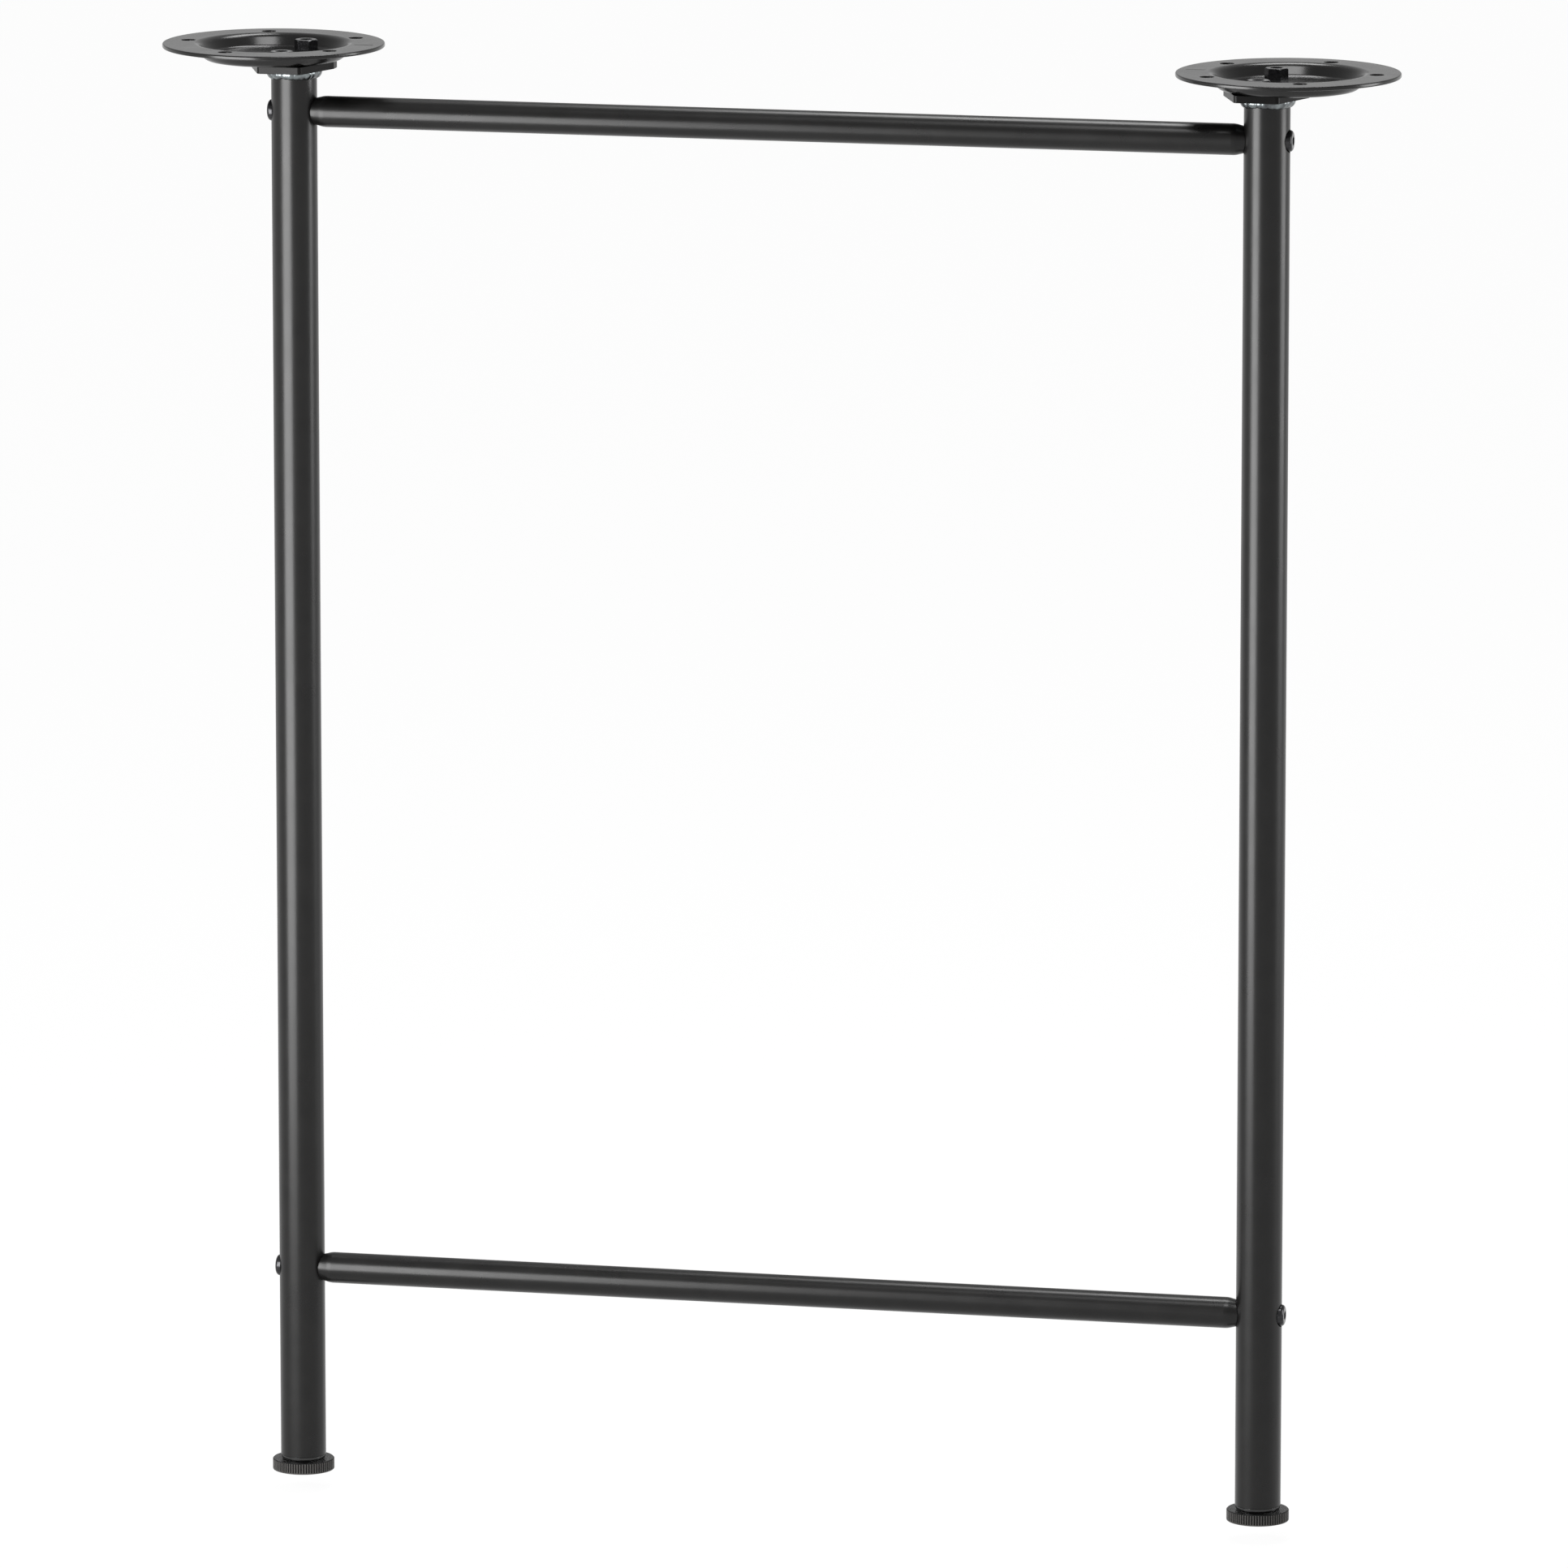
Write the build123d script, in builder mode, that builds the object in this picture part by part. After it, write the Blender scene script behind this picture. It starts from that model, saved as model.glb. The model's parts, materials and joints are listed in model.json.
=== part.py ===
"""A table leg frame: two round posts, two crossbars, dished mounting plates and levelling feet.

Millimetres. The origin is on the floor, midway between the posts. X runs along the crossbars,
Y is the frame's depth and Z is up.
"""
import os
from math import atan2, cos, hypot, isclose, pi, tan

from build123d import *

# Frame
frame_height = 700.0
post_spacing = 473.5
post_diameter = 22.0
post_wall = 2.0
bar_diameter = 15.0
bar_wall = 1.5
upper_bar_drop = 32.5
lower_bar_height = 101.0

# Rolled-in ends of the crossbars
nose_length = 4.0
nose_drop = 1.0
nose_bend_radius = 8.0
cope_clearance = 0.05

# Bolts that hold the crossbars to the posts, and the threaded plugs they screw into
bolt_diameter = 6.0
bolt_length = 35.0
bolt_head_diameter = 10.4
bolt_head_height = 2.8
bolt_head_round = 1.7
bolt_socket_width = 4.0
bolt_socket_depth = 1.8
bolt_seat_depth = 1.2
bolt_seat_clearance = 0.4
bolt_hole_clearance = 0.2
plug_length = 18.0
plug_chamfer = 1.0

# Mounting plate
sheet_thickness = 2.0
dish_depth = 6.0
dish_wall_run = 4.0
dish_inner_bend = 2.0
rim_width = 17.4
rim_edge_round = 0.6
plate_offset = 10.0
screw_hole_count = 5
screw_hole_diameter = 7.0
screw_hole_inset = 11.0
slot_width = 1.0
slot_length = 9.5
slot_inset = 8.75
floor_hole_diameter = 6.0
floor_hole_offset = 12.0

# Flange under the dish, with the studs and nuts that hold the plate on it
flange_thickness = 3.5
flange_end_margin = 5.75
flange_end_width = 21.0
flange_tip_margin = 9.5
flange_tip_width = 6.0
flange_corner_round = 2.0
stud_spacing = 45.5
stud_diameter = 6.0
stud_below_nut_top = 1.2
stud_hole_clearance = 0.25
nut_width = 10.0
nut_height = 5.0
nut_corner_bevel = 0.5
nut_to_bend = 0.15
weld_height = 4.5
weld_width = 3.2

# Levelling foot
disc_diameter = 30.0
disc_height = 5.4
disc_floor = 2.0
disc_band_height = 0.6
disc_edge_round = 0.3
disc_top_bevel = 0.4
knurl_count = 72
knurl_radius = 0.35
foot_gap = 0.2
foot_stud_diameter = 8.0
foot_stud_lead_in = 0.8
foot_travel = 10.0
thread_gap = 0.2
collar_thickness = 1.8
collar_inset = 0.25
collar_round = 0.7
insert_length = 22.0
insert_lead_in = 0.8
bush_diameter = 11.0
bush_height = 10.0

# Radii, heights and places worked out from the sizes above
post_radius = post_diameter / 2
post_bore_radius = post_radius - post_wall
bar_radius = bar_diameter / 2
bar_bore_radius = bar_radius - bar_wall
half_spacing = post_spacing / 2
bar_heights = {"upper": frame_height - upper_bar_drop, "lower": lower_bar_height}
nose_start = half_spacing - post_radius - nose_length
nose_slope = nose_drop / nose_length
bolt_seat = post_radius - bolt_seat_depth

dish_bend = tan(atan2(dish_depth, dish_wall_run) / 2)
nut_corner_radius = nut_width / 2 / cos(pi / 6)
nut_reach = hypot(plate_offset, stud_spacing / 2) + nut_corner_radius
dish_floor_radius = nut_reach + nut_to_bend + dish_inner_bend * dish_bend
dish_mouth_radius = dish_floor_radius + dish_wall_run
plate_radius = dish_mouth_radius + rim_width
dish_underside_shift = sheet_thickness * dish_bend
dish_outer_bend = dish_inner_bend + sheet_thickness

dish_floor_top = frame_height - dish_depth
dish_floor_bottom = dish_floor_top - sheet_thickness
flange_bottom = dish_floor_bottom - flange_thickness
stud_top = dish_floor_top + nut_height - stud_below_nut_top

disc_radius = disc_diameter / 2
collar_bottom = disc_height + foot_gap
post_bottom = collar_bottom + collar_thickness
insert_top = post_bottom + insert_length
bush_bottom = insert_top - bush_height
foot_bore_radius = foot_stud_diameter / 2 + thread_gap
foot_stud_bottom = disc_floor + foot_gap
foot_stud_top = insert_top + foot_travel

SIDES = {"left": -1, "right": 1}
UP = (0, 0, 1)
SAME_PLACE = 0.001

os.makedirs("parts", exist_ok=True)


def save(piece, name):
    """Label a finished piece and write it to its own STEP file."""
    piece.part.label = name
    export_step(piece.part, f"parts/{name}.step")


def corners_at(sketch, distance):
    """The corners of a section that lie at this distance along its X axis."""
    return sketch.vertices().filter_by(lambda corner: isclose(corner.X, distance, abs_tol=SAME_PLACE))


# Crossbars: a tube whose ends taper in, notched to sit against the posts
for level, bar_z in bar_heights.items():
    nose_fall = (half_spacing - nose_start) * nose_slope
    with BuildPart() as crossbar:
        with BuildSketch(Plane.XZ) as half_section:
            with BuildLine():
                Polyline(
                    (0, bar_z + bar_bore_radius),
                    (0, bar_z + bar_radius),
                    (nose_start, bar_z + bar_radius),
                    (half_spacing, bar_z + bar_radius - nose_fall),
                    (half_spacing, bar_z + bar_bore_radius - nose_fall),
                    (nose_start, bar_z + bar_bore_radius),
                    close=True,
                )
            make_face()
            fillet(corners_at(half_section, nose_start), radius=nose_bend_radius)
        revolve(axis=Axis((0, 0, bar_z), (1, 0, 0)))
        mirror(about=Plane.YZ)
        for out in SIDES.values():
            with BuildSketch(Plane((out * half_spacing, 0, bar_z - bar_diameter))):
                Circle(post_radius + cope_clearance)
            extrude(amount=2 * bar_diameter, mode=Mode.SUBTRACT)
    save(crossbar, f"{level}_crossbar")

    # Threaded plugs, pulled up against the taper inside each end
    for side, out in SIDES.items():
        with BuildPart() as bar_plug:
            with BuildSketch(Plane((out * nose_start, 0, bar_z), z_dir=(-out, 0, 0))):
                Circle(bar_bore_radius)
                Circle(bolt_diameter / 2, mode=Mode.SUBTRACT)
            extrude(amount=plug_length)
            rims = bar_plug.edges().filter_by(GeomType.CIRCLE).group_by(SortBy.RADIUS)[-1]
            chamfer(rims, length=plug_chamfer)
        save(bar_plug, f"{level}_{side}_bar_plug")

# Bolts: one through each post into each end of each crossbar
with BuildPart() as crossbar_bolts:
    for bar_z in bar_heights.values():
        for out in SIDES.values():
            seat = Plane((out * (half_spacing + bolt_seat), 0, bar_z), z_dir=(out, 0, 0))
            with BuildSketch(seat):
                Circle(bolt_head_diameter / 2)
            extrude(amount=bolt_head_height)
            crown = crossbar_bolts.edges(Select.LAST).filter_by(GeomType.CIRCLE)
            fillet(crown.sort_by(Axis(seat.origin, seat.z_dir))[-1], radius=bolt_head_round)
            with BuildSketch(seat.offset(bolt_head_height)):
                RegularPolygon(bolt_socket_width / 2, 6, major_radius=False)
            extrude(amount=-bolt_socket_depth, mode=Mode.SUBTRACT)
            with BuildSketch(seat):
                Circle(bolt_diameter / 2)
            extrude(amount=-bolt_length)
save(crossbar_bolts, "crossbar_bolts")

for side, out in SIDES.items():
    # This side's own frame: on the post's axis at floor level, with X pointing out of the leg
    post_axis = Plane((out * half_spacing, 0, 0), x_dir=(out, 0, 0), z_dir=UP)
    post_section = Plane(post_axis.origin, x_dir=post_axis.x_dir, z_dir=(0, -out, 0))

    # Post: a plain tube, drilled through for the bolts, with a round seat for each head
    with BuildPart() as post:
        with BuildSketch(post_axis.offset(post_bottom)):
            Circle(post_radius)
            Circle(post_bore_radius, mode=Mode.SUBTRACT)
        extrude(amount=flange_bottom - post_bottom)
        for bar_z in bar_heights.values():
            with Locations(Plane((out * (half_spacing + post_radius), 0, bar_z), z_dir=(out, 0, 0))):
                CounterBoreHole(
                    radius=bolt_diameter / 2 + bolt_hole_clearance,
                    counter_bore_radius=bolt_head_diameter / 2 + bolt_seat_clearance,
                    counter_bore_depth=bolt_seat_depth,
                    depth=post_diameter,
                )
    save(post, f"{side}_post")

    # Flange: a long hexagon, wide at the post and narrow at its two studs
    flange_tip = post_radius + flange_tip_margin
    flange_end = stud_spacing / 2 + flange_end_margin
    with BuildPart() as flange:
        with BuildSketch(post_axis.offset(flange_bottom)) as outline:
            with BuildLine():
                Polyline(
                    (flange_tip, -flange_tip_width / 2),
                    (flange_tip, flange_tip_width / 2),
                    (flange_end_width / 2, flange_end),
                    (-flange_end_width / 2, flange_end),
                    (-flange_tip, flange_tip_width / 2),
                    (-flange_tip, -flange_tip_width / 2),
                    (-flange_end_width / 2, -flange_end),
                    (flange_end_width / 2, -flange_end),
                    close=True,
                )
            make_face()
            fillet(outline.vertices(), radius=flange_corner_round)
            with GridLocations(0, stud_spacing, 1, 2):
                Circle(stud_diameter / 2, mode=Mode.SUBTRACT)
        extrude(amount=flange_thickness)
    save(flange, f"{side}_flange")

    # Weld bead: a rounded fillet between the post's top and the flange
    weld_toe = (post_radius, flange_bottom - weld_height)
    weld_root = (post_radius, flange_bottom)
    weld_edge = (post_radius + weld_width, flange_bottom)
    with BuildPart() as weld_bead:
        with BuildSketch(post_section):
            with BuildLine():
                Polyline(weld_toe, weld_root, weld_edge)
                RadiusArc(weld_edge, weld_toe, hypot(weld_height, weld_width))
            make_face()
        revolve(axis=Axis(post_axis.origin, UP))
    save(weld_bead, f"{side}_weld_bead")

    # Mounting plate: sheet pressed to a round dish, set outwards of the post
    plate_origin = post_axis.origin + post_axis.x_dir * plate_offset
    plate_axis = Plane(plate_origin, x_dir=post_axis.x_dir, z_dir=UP)
    with BuildPart() as mounting_plate:
        with BuildSketch(Plane(plate_origin, x_dir=post_axis.x_dir, z_dir=(0, -out, 0))) as section:
            with BuildLine():
                Polyline(
                    (0, dish_floor_top),
                    (dish_floor_radius, dish_floor_top),
                    (dish_mouth_radius, frame_height),
                    (plate_radius, frame_height),
                    (plate_radius, frame_height - sheet_thickness),
                    (dish_mouth_radius + dish_underside_shift, frame_height - sheet_thickness),
                    (dish_floor_radius + dish_underside_shift, dish_floor_bottom),
                    (0, dish_floor_bottom),
                    close=True,
                )
            make_face()
            fillet(corners_at(section, dish_floor_radius), radius=dish_inner_bend)
            fillet(corners_at(section, dish_floor_radius + dish_underside_shift), radius=dish_outer_bend)
            fillet(corners_at(section, dish_mouth_radius), radius=dish_outer_bend)
            fillet(corners_at(section, dish_mouth_radius + dish_underside_shift), radius=dish_inner_bend)
            fillet(corners_at(section, plate_radius), radius=rim_edge_round)
        revolve(axis=Axis(plate_origin, UP))
        with BuildSketch(plate_axis.offset(frame_height)):
            with PolarLocations(plate_radius - screw_hole_inset, screw_hole_count):
                Circle(screw_hole_diameter / 2)
            with Locations((slot_inset - plate_radius, 0)):
                SlotOverall(slot_length, slot_width)
            with Locations((floor_hole_offset, 0)):
                Circle(floor_hole_diameter / 2)
            with Locations((-plate_offset, stud_spacing / 2), (-plate_offset, -stud_spacing / 2)):
                Circle(stud_diameter / 2 + stud_hole_clearance)
        extrude(amount=-(dish_depth + sheet_thickness), mode=Mode.SUBTRACT)
    save(mounting_plate, f"{side}_mounting_plate")

    # Weld studs: flush with the flange's underside, ending inside the nuts
    with BuildPart() as plate_studs:
        with BuildSketch(post_axis.offset(flange_bottom)):
            with GridLocations(0, stud_spacing, 1, 2):
                Circle(stud_diameter / 2)
        extrude(amount=stud_top - flange_bottom)
    save(plate_studs, f"{side}_plate_studs")

    # Nuts: a hexagon with its top corners turned off
    with BuildPart() as plate_nuts:
        for across in (-stud_spacing / 2, stud_spacing / 2):
            seat = Plane((out * half_spacing, across, dish_floor_top))
            with BuildSketch(seat):
                RegularPolygon(nut_width / 2, 6, major_radius=False)
            extrude(amount=nut_height)
            with BuildSketch(Plane(seat.origin, x_dir=seat.x_dir, z_dir=(0, -1, 0))):
                with BuildLine():
                    Polyline(
                        (nut_width / 2, nut_height),
                        (nut_corner_radius + nut_corner_bevel, nut_height),
                        (nut_corner_radius + nut_corner_bevel, nut_height - 2 * nut_corner_bevel),
                        close=True,
                    )
                make_face()
            revolve(axis=Axis(seat.origin, UP), mode=Mode.SUBTRACT)
            with BuildSketch(seat):
                Circle(stud_diameter / 2)
            extrude(amount=nut_height, mode=Mode.SUBTRACT)
    save(plate_nuts, f"{side}_plate_nuts")

    # Foot insert: a plastic plug in the post's end, with a collar under it
    with BuildPart() as foot_insert:
        with BuildSketch(post_axis.offset(collar_bottom)):
            Circle(post_radius - collar_inset)
        extrude(amount=collar_thickness)
        fillet(foot_insert.edges().group_by(Axis.Z)[0], radius=collar_round)
        with BuildSketch(post_axis.offset(post_bottom)):
            Circle(post_bore_radius)
        extrude(amount=insert_length)
        chamfer(foot_insert.edges().group_by(Axis.Z)[-1], length=insert_lead_in)
        with BuildSketch(post_axis.offset(insert_top)):
            Circle(foot_bore_radius)
        extrude(amount=-(insert_length + collar_thickness), mode=Mode.SUBTRACT)
        with BuildSketch(post_axis.offset(insert_top)):
            Circle(bush_diameter / 2)
        extrude(amount=-bush_height, mode=Mode.SUBTRACT)
    save(foot_insert, f"{side}_foot_insert")

    # Threaded bush: pressed into the top of the insert
    with BuildPart() as foot_bush:
        with BuildSketch(post_axis.offset(bush_bottom)):
            Circle(bush_diameter / 2)
            Circle(foot_bore_radius, mode=Mode.SUBTRACT)
        extrude(amount=bush_height)
    save(foot_bush, f"{side}_foot_bush")

    # Foot stud: long enough to stay in the bush when the foot is wound right out
    with BuildPart() as foot_stud:
        with BuildSketch(post_axis.offset(foot_stud_bottom)):
            Circle(foot_stud_diameter / 2)
        extrude(amount=foot_stud_top - foot_stud_bottom)
        chamfer(foot_stud.edges().group_by(Axis.Z)[-1], length=foot_stud_lead_in)
    save(foot_stud, f"{side}_foot_stud")

    # Foot disc: a smooth band below, a knurled edge above, and a pocket for the stud
    with BuildPart() as foot_disc:
        with BuildSketch(post_axis):
            Circle(disc_radius)
        extrude(amount=disc_band_height)
        fillet(foot_disc.edges().group_by(Axis.Z)[0], radius=disc_edge_round)
        with BuildSketch(post_axis.offset(disc_band_height)):
            Circle(disc_radius)
            with PolarLocations(disc_radius, knurl_count):
                Circle(knurl_radius, mode=Mode.SUBTRACT)
        extrude(amount=disc_height - disc_band_height)
        with BuildSketch(post_section):
            with BuildLine():
                Polyline(
                    (disc_radius - disc_top_bevel, disc_height),
                    (disc_radius + disc_top_bevel, disc_height),
                    (disc_radius + disc_top_bevel, disc_height - 2 * disc_top_bevel),
                    close=True,
                )
            make_face()
        revolve(axis=Axis(post_axis.origin, UP), mode=Mode.SUBTRACT)
        with BuildSketch(post_axis.offset(disc_height)):
            Circle(foot_bore_radius)
        extrude(amount=disc_floor - disc_height, mode=Mode.SUBTRACT)
    save(foot_disc, f"{side}_foot_disc")
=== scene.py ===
# %% [markdown]
# A black steel table leg, dressed for a studio picture.
# The solids come from the CAD model: tubes, plates, nuts and feet already have their true shape.
# This lesson adds what CAD leaves out: the finishes, the rippled welds, the threads, the light and
# the camera.

# %% Load the CAD frame
import json
from math import cos, pi, radians, sin, sqrt

import bpy
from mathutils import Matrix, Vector


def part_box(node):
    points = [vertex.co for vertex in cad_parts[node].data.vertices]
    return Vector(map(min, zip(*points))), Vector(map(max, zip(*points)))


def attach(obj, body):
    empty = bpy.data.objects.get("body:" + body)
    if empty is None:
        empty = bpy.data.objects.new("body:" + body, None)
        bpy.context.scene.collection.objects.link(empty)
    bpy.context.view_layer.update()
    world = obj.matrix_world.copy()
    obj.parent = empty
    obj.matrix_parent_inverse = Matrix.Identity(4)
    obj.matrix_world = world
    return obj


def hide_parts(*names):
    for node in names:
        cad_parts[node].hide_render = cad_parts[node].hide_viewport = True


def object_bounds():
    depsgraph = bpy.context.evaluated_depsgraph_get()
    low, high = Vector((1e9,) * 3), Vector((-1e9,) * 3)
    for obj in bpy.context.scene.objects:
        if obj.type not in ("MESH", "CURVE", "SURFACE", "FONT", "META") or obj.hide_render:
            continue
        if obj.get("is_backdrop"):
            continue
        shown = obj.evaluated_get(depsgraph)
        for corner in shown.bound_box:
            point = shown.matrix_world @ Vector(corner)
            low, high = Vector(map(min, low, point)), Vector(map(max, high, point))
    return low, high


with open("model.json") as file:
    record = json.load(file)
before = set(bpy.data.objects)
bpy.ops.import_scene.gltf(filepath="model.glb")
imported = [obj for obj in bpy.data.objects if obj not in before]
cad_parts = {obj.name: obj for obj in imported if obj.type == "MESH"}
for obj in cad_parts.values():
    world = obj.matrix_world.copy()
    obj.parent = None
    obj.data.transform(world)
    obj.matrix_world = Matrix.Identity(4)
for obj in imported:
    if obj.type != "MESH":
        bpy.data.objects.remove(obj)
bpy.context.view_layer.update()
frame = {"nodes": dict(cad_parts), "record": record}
nodes = frame["nodes"]
MM = 0.001
SIDES = ("left", "right")

# %% [markdown]
# The camera stands a little to the right of the leg and looks down on it with a long lens, so that the
# two posts stay almost parallel. It could be placed by hand in the viewport. Here it is worked out from
# the point that it looks at, its distance and its two angles, because those are what a photographer would
# note down.

# %% Camera
LOOK_AT = Vector((0.0036, 0.0, 0.3495))
CAMERA_DISTANCE = 6.26
CAMERA_AZIMUTH = radians(12.80)
CAMERA_ELEVATION = radians(10.63)
LENS_MM = 300.0
SENSOR_MM = 36.0
FARTHEST_SEEN = 100.0


def around_the_leg(azimuth, distance, height):
    """A point at this azimuth round the leg: 0 is straight in front, positive to the right."""
    return Vector((distance * sin(azimuth), -distance * cos(azimuth), height))


camera_data = bpy.data.cameras.new("leg_camera")
camera_data.lens = LENS_MM
camera_data.sensor_width = SENSOR_MM
camera_data.clip_end = FARTHEST_SEEN
camera = bpy.data.objects.new("leg_camera", camera_data)
camera.location = LOOK_AT + around_the_leg(
    azimuth=CAMERA_AZIMUTH,
    distance=CAMERA_DISTANCE * cos(CAMERA_ELEVATION),
    height=CAMERA_DISTANCE * sin(CAMERA_ELEVATION),
)
camera.rotation_euler = (pi / 2 - CAMERA_ELEVATION, 0.0, CAMERA_AZIMUTH)
bpy.context.collection.objects.link(camera)
bpy.context.scene.camera = camera
bpy.context.scene.view_settings.view_transform = "Standard"
print("camera at", [round(v, 3) for v in camera.location])

# %% [markdown]
# Under the leg is a wide white floor. On a real set the paper is lit until it turns white, and then the
# leg gets too much light as well. So the floor glows for the rays that look at it, and the rest of it is
# plain matte white that still takes the leg's shadow.

# %% Floor paper
FLOOR_WHITE = (0.90, 0.90, 0.90, 1.0)
FLOOR_GLOW_SHARE = 0.95


def calculated(tree, operation, first, second=0.0):
    """A value worked out from a socket and either another socket or a fixed number."""
    node = tree.nodes.new("ShaderNodeMath")
    node.operation = operation
    tree.links.new(first, node.inputs[0])
    if isinstance(second, float):
        node.inputs[1].default_value = second
    else:
        tree.links.new(second, node.inputs[1])
    return node.outputs["Value"]


def floor_paper():
    """Matte white paper that glows for the camera, for reflections and through glass."""
    material = bpy.data.materials.new("floor_paper")
    material.use_nodes = True
    tree = material.node_tree
    tree.nodes.remove(tree.nodes["Principled BSDF"])
    paper = tree.nodes.new("ShaderNodeBsdfDiffuse")
    paper.inputs["Color"].default_value = FLOOR_WHITE
    glow = tree.nodes.new("ShaderNodeEmission")
    path = tree.nodes.new("ShaderNodeLightPath")
    seen = calculated(tree, "MAXIMUM", path.outputs["Is Camera Ray"], path.outputs["Is Glossy Ray"])
    seen = calculated(tree, "MAXIMUM", seen, path.outputs["Is Transmission Ray"])
    both = tree.nodes.new("ShaderNodeMixShader")
    tree.links.new(calculated(tree, "MULTIPLY", seen, FLOOR_GLOW_SHARE), both.inputs["Fac"])
    tree.links.new(paper.outputs["BSDF"], both.inputs[1])
    tree.links.new(glow.outputs["Emission"], both.inputs[2])
    tree.links.new(both.outputs["Shader"], tree.nodes["Material Output"].inputs["Surface"])
    return material


white_paper = floor_paper()
print(white_paper.name, "glows with a share of", FLOOR_GLOW_SHARE)

# %% [markdown]
# The floor is one large plane. It could lie right under the feet, but they can be wound out, and then it
# would hide them. So it lies where they reach at the end of their travel, which the record gives.

# %% Floor
FLOOR_WIDTH = 60.0
slides = [joint for joint in frame["record"]["behaviour"]["joints"] if joint["type"] == "slide"]
foot_travel = max(joint["range_m"][1] for joint in slides)
bpy.ops.object.select_all(action="DESELECT")
bpy.ops.mesh.primitive_plane_add(size=FLOOR_WIDTH, location=(0, 0, -foot_travel))
floor = bpy.context.active_object
floor.name = "floor"
floor.data.materials.append(white_paper)
floor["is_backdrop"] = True
print("floor", floor.dimensions[:], "at", floor.location.z)

# %% [markdown]
# A round black tube shows its shape only by what it reflects. Two tall soft boxes do most of the work: a
# bright one in front on the left draws the broad band on each post, and a dimmer one on the right draws a
# second, thinner band. Two smaller ones hang overhead: the one behind picks out the tops of the crossbars,
# and the one in front shines into the dishes of the plates. Each box's power is worked out from how bright
# its face should look, because that is what the black paint mirrors.

# %% Lights
def soft_box(name, place, look_at, width, height, face_brightness):
    """A rectangular lamp that the camera itself does not see."""
    lamp = bpy.data.lights.new(name, "AREA")
    lamp.shape = "RECTANGLE"
    lamp.size = width
    lamp.size_y = height
    lamp.energy = face_brightness * pi * width * height
    box = bpy.data.objects.new(name, lamp)
    box.location = place
    box.rotation_euler = (look_at - place).to_track_quat("-Z", "Y").to_euler()
    box.visible_camera = False
    bpy.context.collection.objects.link(box)
    print(name, "at", [round(v, 2) for v in place], "power", round(lamp.energy, 1))


soft_box("key_box",
         place=around_the_leg(azimuth=CAMERA_AZIMUTH - radians(50), distance=1.1, height=0.42),
         look_at=Vector((0, 0, 0.42)), width=0.78, height=0.84, face_brightness=12.5)
soft_box("side_box",
         place=around_the_leg(azimuth=CAMERA_AZIMUTH + radians(88), distance=2.6, height=0.75),
         look_at=Vector((0, 0, 0.7)), width=1.0, height=1.3, face_brightness=8.0)
soft_box("back_top_box", place=Vector((0.1, 0.65, 2.2)),
         look_at=Vector((0.1, 0, 0.6)), width=1.0, height=0.6, face_brightness=11.0)
soft_box("front_top_box", place=Vector((0.26, -0.82, 2.2)),
         look_at=Vector((0.06, 0, 0.7)), width=0.8, height=0.6, face_brightness=10.0)

# %% [markdown]
# The room round the set is white at the horizon and grey overhead, as in a studio with its ceiling lights
# off. It could be built as walls, but nobody sees them: the paint only mirrors how bright each direction
# is. So the world's colour follows the height of the direction, on a short ramp from white to grey.

# %% Room
HORIZON_WHITE = (1.0, 1.0, 1.0, 1.0)
CEILING_GREY = (0.55, 0.55, 0.55, 1.0)
WHITE_UP_TO = 0.03
GREY_FROM = 0.14
room = bpy.data.worlds.new("studio_room")
bpy.context.scene.world = room
room.use_nodes = True
sky = room.node_tree
direction = sky.nodes.new("ShaderNodeTexCoord")
upward = sky.nodes.new("ShaderNodeSeparateXYZ")
sky.links.new(direction.outputs["Generated"], upward.inputs["Vector"])
ramp = sky.nodes.new("ShaderNodeValToRGB")
horizon, ceiling = ramp.color_ramp.elements
horizon.position = WHITE_UP_TO
horizon.color = HORIZON_WHITE
ceiling.position = GREY_FROM
ceiling.color = CEILING_GREY
sky.links.new(upward.outputs["Z"], ramp.inputs["Fac"])
sky.links.new(ramp.outputs["Color"], sky.nodes["Background"].inputs["Color"])
print("room from", HORIZON_WHITE[0], "at the horizon to", CEILING_GREY[0], "overhead")

# %% [markdown]
# Each finish starts as a Principled shader. It could be painted by hand, but a pattern worked out from
# noise has no seams. Small helpers add what every real surface has: a fine grain that raises it, a
# roughness that is not quite even, and edges that are never perfectly sharp. The patterns read Object
# coordinates, so their scale is in features per metre and they stay put on the part.

# %% Helpers for the finishes
PATTERN_LOW = 0.3
PATTERN_HIGH = 0.7


def new_finish(name):
    """A material with its node tree and its Principled shader."""
    material = bpy.data.materials.new(name)
    material.use_nodes = True
    tree = material.node_tree
    return material, tree, tree.nodes["Principled BSDF"]


def grain(tree, per_metre, detail=2.0):
    """A noise pattern of a real size."""
    place = tree.nodes.new("ShaderNodeTexCoord")
    noise = tree.nodes.new("ShaderNodeTexNoise")
    noise.inputs["Scale"].default_value = per_metre
    noise.inputs["Detail"].default_value = detail
    tree.links.new(place.outputs["Object"], noise.inputs["Vector"])
    return noise.outputs["Fac"]


def between(tree, pattern, low, high):
    """The pattern's middle range, spread from one value to another."""
    spread = tree.nodes.new("ShaderNodeMapRange")
    spread.inputs["From Min"].default_value = PATTERN_LOW
    spread.inputs["From Max"].default_value = PATTERN_HIGH
    spread.inputs["To Min"].default_value = low
    spread.inputs["To Max"].default_value = high
    tree.links.new(pattern, spread.inputs["Value"])
    return spread.outputs["Result"]


def tones(tree, pattern, dark, light):
    """The pattern as a colour between two close tones."""
    mix = tree.nodes.new("ShaderNodeMix")
    mix.data_type = "RGBA"
    mix.inputs["A"].default_value = (*dark, 1.0)
    mix.inputs["B"].default_value = (*light, 1.0)
    tree.links.new(between(tree, pattern, low=0.0, high=1.0), mix.inputs["Factor"])
    return mix.outputs["Result"]


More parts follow.
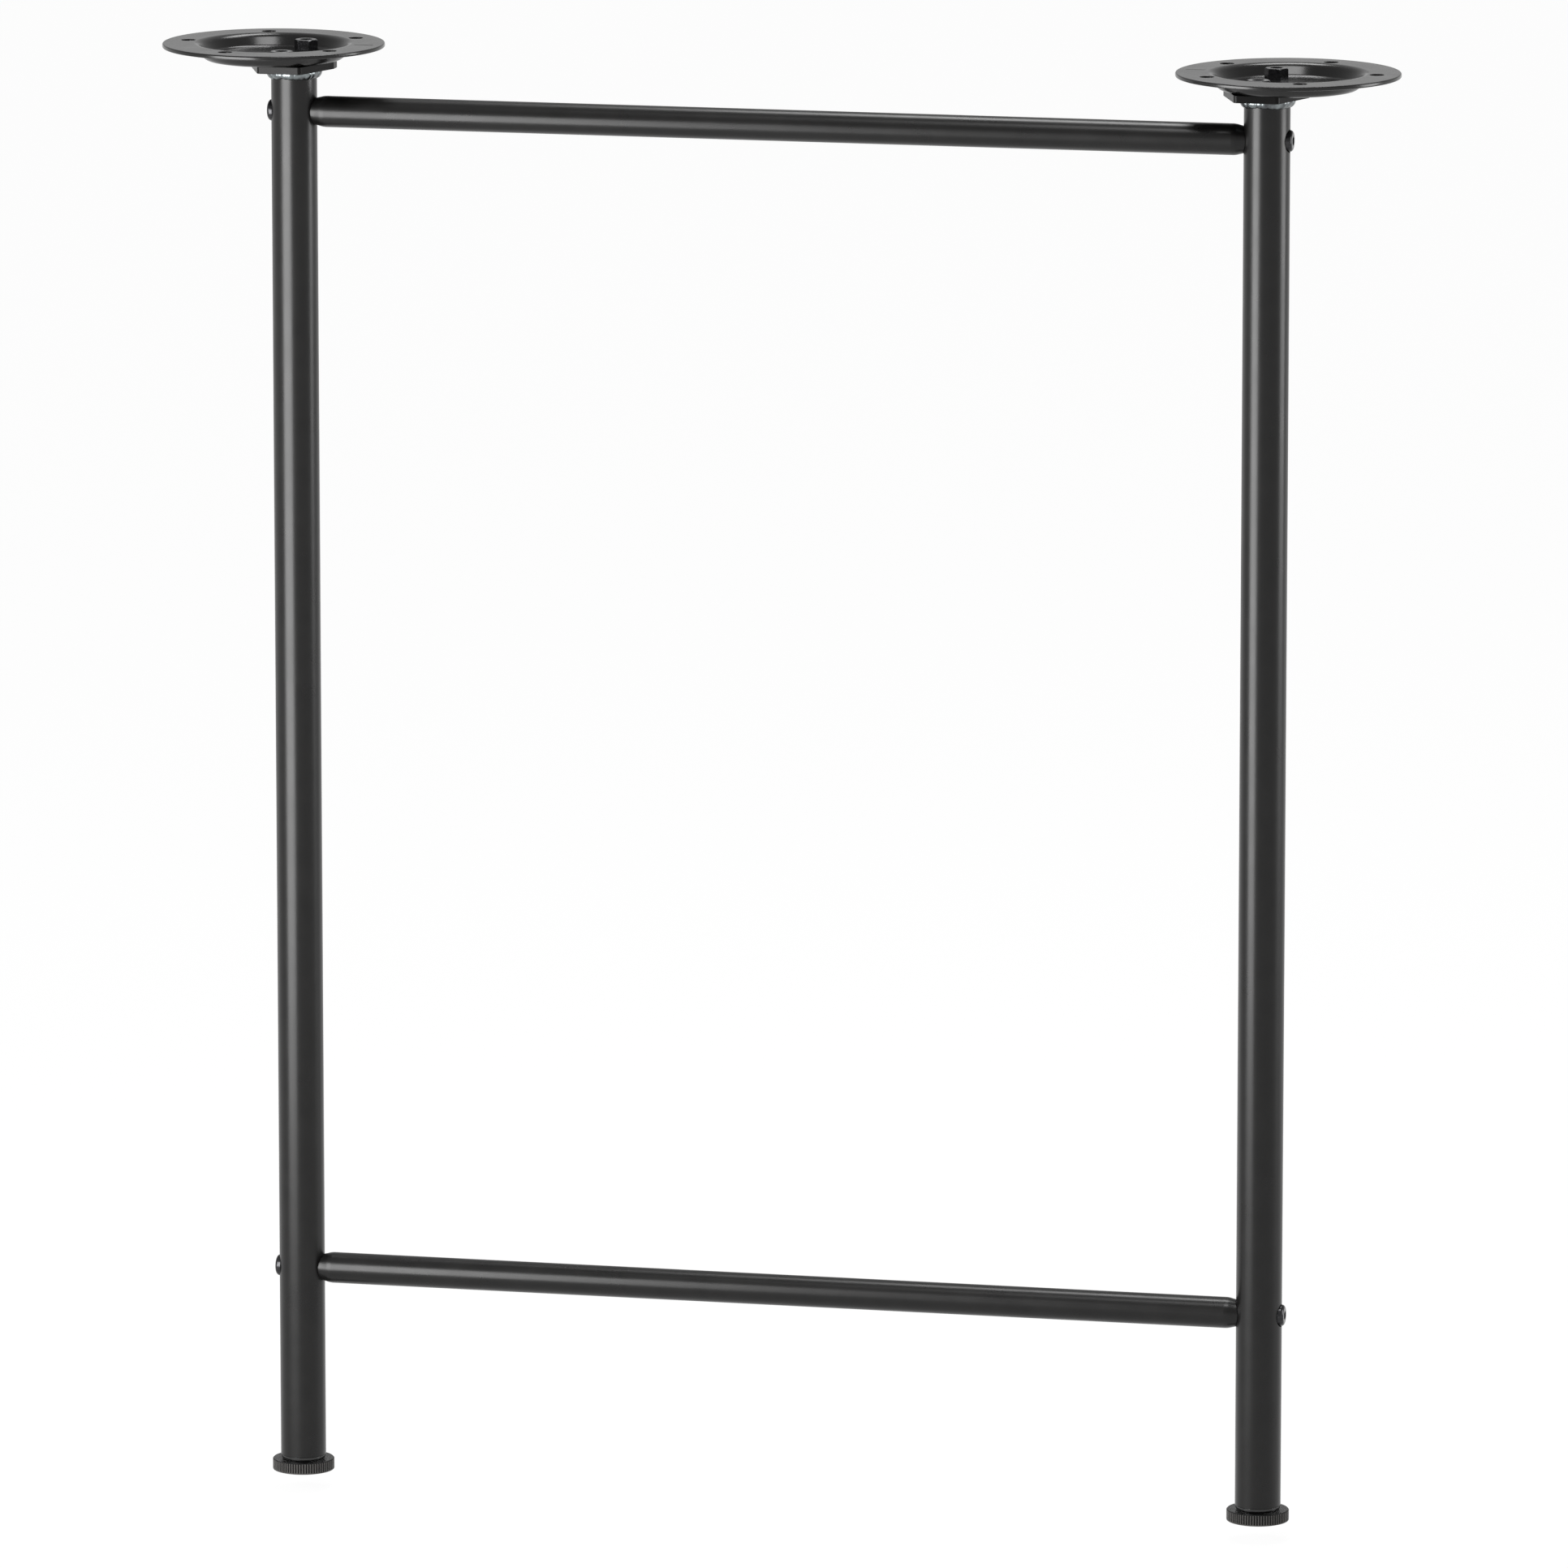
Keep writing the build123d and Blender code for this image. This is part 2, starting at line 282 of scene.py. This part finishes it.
print("patterns are spread from", PATTERN_LOW, "to", PATTERN_HIGH)

# %% Helpers for the surface
EDGE_SAMPLES = 6


def soft_edges(tree, radius):
    """A normal that rolls over the edges as a thick coat does."""
    edge = tree.nodes.new("ShaderNodeBevel")
    edge.samples = EDGE_SAMPLES
    edge.inputs["Radius"].default_value = radius
    return edge.outputs["Normal"]


def raised(tree, pattern, depth, normal):
    """The surface raised by a pattern, on top of a given normal."""
    bump = tree.nodes.new("ShaderNodeBump")
    bump.inputs["Distance"].default_value = depth
    tree.links.new(pattern, bump.inputs["Height"])
    tree.links.new(normal, bump.inputs["Normal"])
    return bump.outputs["Normal"]


print("edges are rounded with", EDGE_SAMPLES, "samples")

# %% [markdown]
# The steel is powder coated: a dry paint baked on until it flows into a thick satin skin. Close up it has
# a slow ripple like orange peel and a fine grain. One function makes the three coats, because they differ
# only in gloss: the pressed plates come out a little glossier than the tubes, and the flanges get a duller
# copy of the coat that paints shade onto them under the plates.

# %% Powder coat
COAT_DARK = (0.0022, 0.0021, 0.0020)
COAT_LIGHT = (0.0036, 0.0034, 0.0033)
COAT_UNEVENNESS = 0.02
FINE_GRAIN_SHARE = 0.3


def powder_coat(name, gloss, roughness, ripple):
    """Satin black powder coat with a ripple of this depth."""
    material, tree, shader = new_finish(name)
    shader.inputs["Specular IOR Level"].default_value = gloss
    colour = tones(tree, grain(tree, per_metre=90.0), COAT_DARK, COAT_LIGHT)
    tree.links.new(colour, shader.inputs["Base Color"])
    uneven = between(tree, grain(tree, per_metre=60.0),
                     low=roughness - COAT_UNEVENNESS, high=roughness + COAT_UNEVENNESS)
    tree.links.new(uneven, shader.inputs["Roughness"])
    normal = soft_edges(tree, radius=0.45 * MM)
    normal = raised(tree, grain(tree, per_metre=420.0), ripple, normal)
    normal = raised(tree, grain(tree, per_metre=4200.0), FINE_GRAIN_SHARE * ripple, normal)
    tree.links.new(normal, shader.inputs["Normal"])
    return material


tube_coat = powder_coat("tube_powder_coat", gloss=0.29, roughness=0.29, ripple=0.004 * MM)
plate_coat = powder_coat("plate_powder_coat", gloss=0.34, roughness=0.22, ripple=0.002 * MM)
# The flange coat is a darker, low-gloss copy of the tube coat: it paints shade onto the flanges.
flange_shaded_coat = powder_coat("flange_painted_shade_coat", gloss=0.10, roughness=0.29, ripple=0.004 * MM)
print(tube_coat.name, plate_coat.name, flange_shaded_coat.name)

# %% [markdown]
# The nuts and bolts are black plated, a thin dark skin over metal that glints where its edges turn. The
# foot studs, bushes and plugs keep plain bright zinc. A flat grey would look like plastic. Both are metal
# with faint clouds in the plating, so one function makes them.

# %% Fasteners
def plated(name, dark, light, metallic, roughness):
    """A plated fastener: metal with faint clouds in its plating."""
    material, tree, shader = new_finish(name)
    shader.inputs["Metallic"].default_value = metallic
    clouds = tones(tree, grain(tree, per_metre=700.0, detail=4.0), dark, light)
    tree.links.new(clouds, shader.inputs["Base Color"])
    uneven = between(tree, grain(tree, per_metre=1500.0), low=roughness - 0.05, high=roughness + 0.07)
    tree.links.new(uneven, shader.inputs["Roughness"])
    edges = soft_edges(tree, radius=0.25 * MM)
    normal = raised(tree, grain(tree, per_metre=3000.0), depth=0.002 * MM, normal=edges)
    tree.links.new(normal, shader.inputs["Normal"])
    return material


black_plating = plated("black_plating", dark=(0.020, 0.020, 0.021), light=(0.038, 0.038, 0.040),
                       metallic=0.8, roughness=0.20)
bright_zinc = plated("bright_zinc", dark=(0.50, 0.51, 0.53), light=(0.62, 0.63, 0.66),
                     metallic=1.0, roughness=0.30)
print(black_plating.name, "and", bright_zinc.name)

# %% [markdown]
# Two plastics close the foot of each post. The insert is the glossy one, and only its collar shows. It
# could be plain black, but a mould leaves a trace of ripple, and that is what bends its highlight a little.

# %% Glossy plastic
def insert_gloss():
    """Smooth black plastic."""
    material, tree, shader = new_finish("insert_gloss_plastic")
    colour = tones(tree, grain(tree, per_metre=200.0),
                   dark=(0.005, 0.005, 0.005), light=(0.008, 0.008, 0.008))
    tree.links.new(colour, shader.inputs["Base Color"])
    uneven = between(tree, grain(tree, per_metre=300.0), low=0.06, high=0.10)
    tree.links.new(uneven, shader.inputs["Roughness"])
    edges = soft_edges(tree, radius=0.3 * MM)
    normal = raised(tree, grain(tree, per_metre=250.0), depth=0.004 * MM, normal=edges)
    tree.links.new(normal, shader.inputs["Normal"])
    return material


insert_plastic = insert_gloss()
print(insert_plastic.name)

# %% [markdown]
# The foot disc is moulded in a duller plastic with a leathery top and smoother ribs round its rim. The
# leather is faded in by the surface's own upward slope, so one material serves the whole disc and stays
# right as it turns. The rib crests carry a painted highlight, a paler colour than the grooves: the
# distance from the disc's axis tells the two apart.

# %% Leather and ribs
LEATHER_FROM = 0.8
LEATHER_FULL = 0.95


def facing_up(tree):
    """1 where the surface looks straight up, and 0 on the sides."""
    surface = tree.nodes.new("ShaderNodeNewGeometry")
    parts = tree.nodes.new("ShaderNodeSeparateXYZ")
    tree.links.new(surface.outputs["True Normal"], parts.inputs["Vector"])
    flat = tree.nodes.new("ShaderNodeMapRange")
    flat.inputs["From Min"].default_value = LEATHER_FROM
    flat.inputs["From Max"].default_value = LEATHER_FULL
    tree.links.new(parts.outputs["Z"], flat.inputs["Value"])
    return flat.outputs["Result"]


def leather_cells(tree, cells_per_metre):
    """Rounded cells, only where the surface looks up."""
    place = tree.nodes.new("ShaderNodeTexCoord")
    cells = tree.nodes.new("ShaderNodeTexVoronoi")
    cells.inputs["Scale"].default_value = cells_per_metre
    tree.links.new(place.outputs["Object"], cells.inputs["Vector"])
    return calculated(tree, "MULTIPLY", cells.outputs["Distance"], facing_up(tree))


def rib_crests(tree, axis_x, groove_radius, crest_radius):
    """0 in the grooves and 1 on the crests of a disc on either side of the leg."""
    place = tree.nodes.new("ShaderNodeTexCoord")
    parts = tree.nodes.new("ShaderNodeSeparateXYZ")
    tree.links.new(place.outputs["Object"], parts.inputs["Vector"])
    from_middle = calculated(tree, "ABSOLUTE", parts.outputs["X"])
    radial = tree.nodes.new("ShaderNodeCombineXYZ")
    tree.links.new(calculated(tree, "SUBTRACT", from_middle, axis_x), radial.inputs["X"])
    tree.links.new(parts.outputs["Y"], radial.inputs["Y"])
    distance = tree.nodes.new("ShaderNodeVectorMath")
    distance.operation = "LENGTH"
    tree.links.new(radial.outputs["Vector"], distance.inputs[0])
    crest = tree.nodes.new("ShaderNodeMapRange")
    crest.inputs["From Min"].default_value = groove_radius
    crest.inputs["From Max"].default_value = crest_radius
    tree.links.new(distance.outputs["Value"], crest.inputs["Value"])
    return crest.outputs["Result"]


print("leather from an upward slope of", LEATHER_FROM)

# %% Disc finish
RIB_DEPTH = 0.2 * MM
# The paler colour of the rib crests is a painted highlight.
PAINTED_CREST_HIGHLIGHT = (0.044, 0.042, 0.040, 1.0)
DISC_GLOSS = 0.12


def axis_and_radius(node):
    """The x of a round upright node's axis, and its radius."""
    low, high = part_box(node)
    return (low.x + high.x) / 2, (high.x - low.x) / 2


def disc_moulding(axis_x, radius):
    """Dull black plastic for the foot discs, with a painted highlight on the rib crests."""
    material, tree, shader = new_finish("disc_moulded_plastic")
    plain = tones(tree, grain(tree, per_metre=500.0),
                  dark=(0.003, 0.003, 0.003), light=(0.006, 0.006, 0.006))
    # The crests get a painted highlight, mixed over the plain plastic by the crest mask.
    painted_crest_highlight = tree.nodes.new("ShaderNodeMix")
    painted_crest_highlight.data_type = "RGBA"
    painted_crest_highlight.inputs["B"].default_value = PAINTED_CREST_HIGHLIGHT
    tree.links.new(rib_crests(tree, axis_x, radius - RIB_DEPTH, radius), painted_crest_highlight.inputs["Factor"])
    tree.links.new(plain, painted_crest_highlight.inputs["A"])
    tree.links.new(painted_crest_highlight.outputs["Result"], shader.inputs["Base Color"])
    shader.inputs["Specular IOR Level"].default_value = DISC_GLOSS
    uneven = between(tree, grain(tree, per_metre=900.0), low=0.20, high=0.28)
    tree.links.new(uneven, shader.inputs["Roughness"])
    normal = soft_edges(tree, radius=0.30 * MM)
    normal = raised(tree, grain(tree, per_metre=5000.0), depth=0.003 * MM, normal=normal)
    normal = raised(tree, leather_cells(tree, cells_per_metre=1700.0), depth=0.10 * MM, normal=normal)
    tree.links.new(normal, shader.inputs["Normal"])
    return material


disc_axis, disc_radius = axis_and_radius("right_foot_disc")
disc_plastic = disc_moulding(disc_axis, disc_radius)
print(disc_plastic.name, "axis", round(disc_axis, 5), "radius", round(disc_radius, 4))

# %% [markdown]
# Where each post meets its flange there is a weld, glossy and burnt dark in places. A ring could be spun
# from a circle, but a real bead is laid down as a row of overlapping drops. So one drop is modelled, copied
# round the post with small differences, and the row is fused by a voxel remesh, as wet metal would flow
# together.

# %% Weld metal
def burnt_weld():
    """Dark glossy metal with a trace of heat colour."""
    material, tree, shader = new_finish("burnt_weld")
    shader.inputs["Metallic"].default_value = 1.0
    heat = tones(tree, grain(tree, per_metre=260.0, detail=3.0),
                 dark=(0.060, 0.061, 0.064), light=(0.230, 0.255, 0.260))
    tree.links.new(heat, shader.inputs["Base Color"])
    uneven = between(tree, grain(tree, per_metre=900.0), low=0.22, high=0.34)
    tree.links.new(uneven, shader.inputs["Roughness"])
    surface = tree.nodes.new("ShaderNodeNewGeometry")
    ripple = raised(tree, grain(tree, per_metre=1800.0), depth=0.008 * MM,
                    normal=surface.outputs["Normal"])
    tree.links.new(ripple, shader.inputs["Normal"])
    return material


weld_metal = burnt_weld()
print(weld_metal.name)

# %% Weld drop
DROP_RADIUS = 2.2 * MM
DROP_STRETCH = (0.85, 1.45, 1.25)
DROP_LEAN = radians(25)


def weld_drop():
    """One drop, flattened in edit mode, still at the origin."""
    bpy.ops.object.select_all(action="DESELECT")
    bpy.ops.mesh.primitive_uv_sphere_add(segments=20, ring_count=12, radius=DROP_RADIUS)
    drop = bpy.context.active_object
    bpy.ops.object.mode_set(mode="EDIT")
    bpy.ops.mesh.select_all(action="SELECT")
    bpy.ops.transform.resize(value=DROP_STRETCH)
    bpy.ops.object.mode_set(mode="OBJECT")
    return drop


def drop_copy(drop, post_x, ring_radius, height, angle, swell):
    """A copy of the drop, leaning outwards at this angle round the post."""
    twin = drop.copy()
    twin.data = drop.data.copy()
    twin.location = (post_x + ring_radius * cos(angle), ring_radius * sin(angle), height)
    twin.rotation_euler = (0.0, DROP_LEAN, angle)
    twin.scale = (swell, swell, swell)
    bpy.context.collection.objects.link(twin)
    return twin


drop = weld_drop()
print("weld drop of", len(drop.data.polygons), "faces")

# %% Fusing
VOXEL = 0.2 * MM
SMOOTHING_PASSES = 10


def apply_modifier(piece, kind, **settings):
    """Add a modifier, set it and apply it."""
    modifier = piece.modifiers.new(kind.lower(), kind)
    for key, value in settings.items():
        setattr(modifier, key, value)
    bpy.context.view_layer.objects.active = piece
    bpy.ops.object.modifier_apply(modifier=modifier.name)


def fuse(pieces, name):
    """Join the pieces, flow them together and smooth the result."""
    bpy.ops.object.select_all(action="DESELECT")
    for piece in pieces:
        piece.select_set(True)
    bpy.context.view_layer.objects.active = pieces[0]
    bpy.ops.object.join()
    whole = bpy.context.active_object
    whole.name = name
    bpy.ops.object.transform_apply(location=True, rotation=True, scale=True)
    apply_modifier(whole, "REMESH", mode="VOXEL", voxel_size=VOXEL)
    apply_modifier(whole, "SMOOTH", factor=0.5, iterations=SMOOTHING_PASSES)
    bpy.ops.object.shade_smooth()
    return whole


def discard(piece):
    """Remove a helper object and its mesh."""
    mesh = piece.data
    bpy.data.objects.remove(piece)
    bpy.data.meshes.remove(mesh)


print("drops are fused with voxels of", VOXEL / MM, "mm")

# %% Weld beads
DROP_COUNT = 26
DROP_BELOW_FLANGE = 2.7 * MM
RING_CLEARANCE = 0.3 * MM
RING_WANDER = 0.2 * MM


def unsteady_drop(step):
    """The angle, the size and the wander of one drop, never quite even, as a hand lays them."""
    angle = 2 * pi * (step + 0.3 * sin(3 * step)) / DROP_COUNT
    swell = 0.92 + 0.09 * sin(0.9 * step) + 0.05 * sin(5.1 * step + 1)
    return angle, swell, RING_WANDER * sin(1.7 * step)


for side in SIDES:
    post_x, post_radius = axis_and_radius(f"{side}_post")
    drop_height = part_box(f"{side}_weld_bead")[1].z - DROP_BELOW_FLANGE
    copies = []
    for step in range(DROP_COUNT):
        angle, swell, wander = unsteady_drop(step)
        ring_radius = post_radius + RING_CLEARANCE + wander
        copies.append(drop_copy(drop, post_x, ring_radius, drop_height, angle, swell))
    bead = fuse(copies, f"{side}_weld_ripples")
    bead.data.materials.append(weld_metal)
    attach(bead, "frame")
    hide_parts(f"{side}_weld_bead")
    print(bead.name, "faces", len(bead.data.polygons))
discard(drop)

# %% [markdown]
# The foot studs are screws, and their thread shows when a foot is wound out. CAD keeps them as plain rods.
# The thread could be a bump in the finish, but its outline would stay straight. A thread is one small tooth
# carried round in a helix, and the Screw modifier does exactly that with a V-shaped edge. The helix is made
# a few turns too long, and two flat cuts then trim and close its ends, just as a threaded bar is sawn to
# length.

# %% Thread tooth
FOOT_PITCH = 1.25 * MM


def thread_tooth(radius, pitch):
    """A V of two edges in the XZ plane, pointing away from the Z axis."""
    bpy.ops.object.select_all(action="DESELECT")
    bpy.ops.mesh.primitive_circle_add(vertices=3, radius=pitch / sqrt(3), rotation=(pi / 2, pi / 2, 0))
    tooth = bpy.context.active_object
    bpy.ops.object.transform_apply(rotation=True)
    corners = tooth.data.vertices
    tip = max(corner.co.x for corner in corners)
    for edge in tooth.data.edges:
        edge.select = all(corners[index].co.x < tip / 2 for index in edge.vertices)
    for corner in corners:
        corner.select = corner.co.x < tip / 2
    bpy.ops.object.mode_set(mode="EDIT")
    bpy.ops.mesh.select_mode(type="EDGE")
    bpy.ops.mesh.delete(type="EDGE")
    bpy.ops.mesh.select_all(action="SELECT")
    bpy.ops.transform.translate(value=(radius - tip, 0, 0))
    bpy.ops.object.mode_set(mode="OBJECT")
    return tooth


print("thread pitch", FOOT_PITCH / MM, "mm")

# %% Threaded rod
THREAD_STEPS = 40
SPARE_TURNS = 2
MERGE_DISTANCE = 1e-6
SHARPEST_SMOOTH_EDGE = radians(30)


def cut_flat(height, upwards):
    """Cut the mesh in edit mode at a height, and close the cut."""
    bpy.ops.mesh.select_all(action="SELECT")
    bpy.ops.mesh.bisect(plane_co=(0, 0, height), plane_no=(0, 0, 1), use_fill=True,
                        clear_outer=upwards, clear_inner=not upwards)


def threaded_rod(name, axis_x, bottom, top, radius, pitch):
    """A rod with a screw thread, in place of a plain round one."""
    rod = thread_tooth(radius, pitch)
    rod.name = name
    rod.location = (axis_x, 0.0, bottom - SPARE_TURNS * pitch)
    turns = int((top - bottom) / pitch) + 1 + 2 * SPARE_TURNS
    apply_modifier(rod, "SCREW", screw_offset=pitch, iterations=turns,
                   steps=THREAD_STEPS, render_steps=THREAD_STEPS)
    bpy.ops.object.transform_apply(location=True)
    bpy.ops.object.mode_set(mode="EDIT")
    bpy.ops.mesh.select_all(action="SELECT")
    bpy.ops.mesh.remove_doubles(threshold=MERGE_DISTANCE)
    cut_flat(bottom, upwards=False)
    cut_flat(top, upwards=True)
    bpy.ops.mesh.select_all(action="SELECT")
    bpy.ops.mesh.normals_make_consistent(inside=False)
    bpy.ops.object.mode_set(mode="OBJECT")
    rod.select_set(True)
    bpy.context.view_layer.objects.active = rod
    bpy.ops.object.shade_smooth_by_angle(angle=SHARPEST_SMOOTH_EDGE)
    rod.data.materials.append(bright_zinc)
    return rod


print("thread of", THREAD_STEPS, "steps a turn")

# %% Foot studs
def shifted_copy(piece, name, shift):
    """A copy of a piece with its own mesh, moved along x in that mesh."""
    twin = piece.copy()
    twin.data = piece.data.copy()
    twin.name = name
    twin.location.x = shift
    bpy.context.collection.objects.link(twin)
    bpy.ops.object.select_all(action="DESELECT")
    twin.select_set(True)
    bpy.context.view_layer.objects.active = twin
    bpy.ops.object.transform_apply(location=True)
    return twin


left_x, stud_radius = axis_and_radius("left_foot_stud")
right_x = axis_and_radius("right_foot_stud")[0]
low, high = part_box("left_foot_stud")
left_stud = threaded_rod("left_foot_thread", left_x, low.z, high.z, stud_radius, FOOT_PITCH)
right_stud = shifted_copy(left_stud, "right_foot_thread", right_x - left_x)
for side, stud in zip(SIDES, (left_stud, right_stud)):
    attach(stud, f"{side}_foot_screw")
    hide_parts(f"{side}_foot_stud")
    print(stud.name, "faces", len(stud.data.polygons))

# %% [markdown]
# The CAD nodes now swap their plain slot colours for these finishes. Each could be dressed by name, but the
# record says which slot a node has, so a table from slot to finish dresses them all. A second table holds
# the exceptions: the pressed plates get the glossier coat, the flanges under them the duller coat that
# paints shade onto them, and the studs that show inside the nuts are blackened as the nuts are.

# %% Dress the CAD nodes
FINISH_OF_SLOT = {
    "satin_black_steel": tube_coat,
    "black_fastener": black_plating,
    "zinc_steel": bright_zinc,
    "black_plastic": disc_plastic,
    "gloss_black_plastic": insert_plastic,
    "weld_metal": weld_metal,
}
FINISH_OF_PIECE = {
    "mounting_plate": plate_coat,
    "flange": flange_shaded_coat,
    "plate_studs": black_plating,
}
slot_of_node = {row["node"]: row["material_slot"] for row in frame["record"]["subparts"]}
for name, node in nodes.items():
    finish = FINISH_OF_SLOT[slot_of_node[name]]
    for piece, own_finish in FINISH_OF_PIECE.items():
        if name.endswith(piece):
            finish = own_finish
    node.material_slots[0].material = finish
    print(name, "wears", finish.name)

# %% [markdown]
# The dressed leg should stay the size of the CAD model, so its visual box is printed at the end.

# %% Sizes
low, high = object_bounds()
print("visual size", [round(v, 4) for v in high - low])
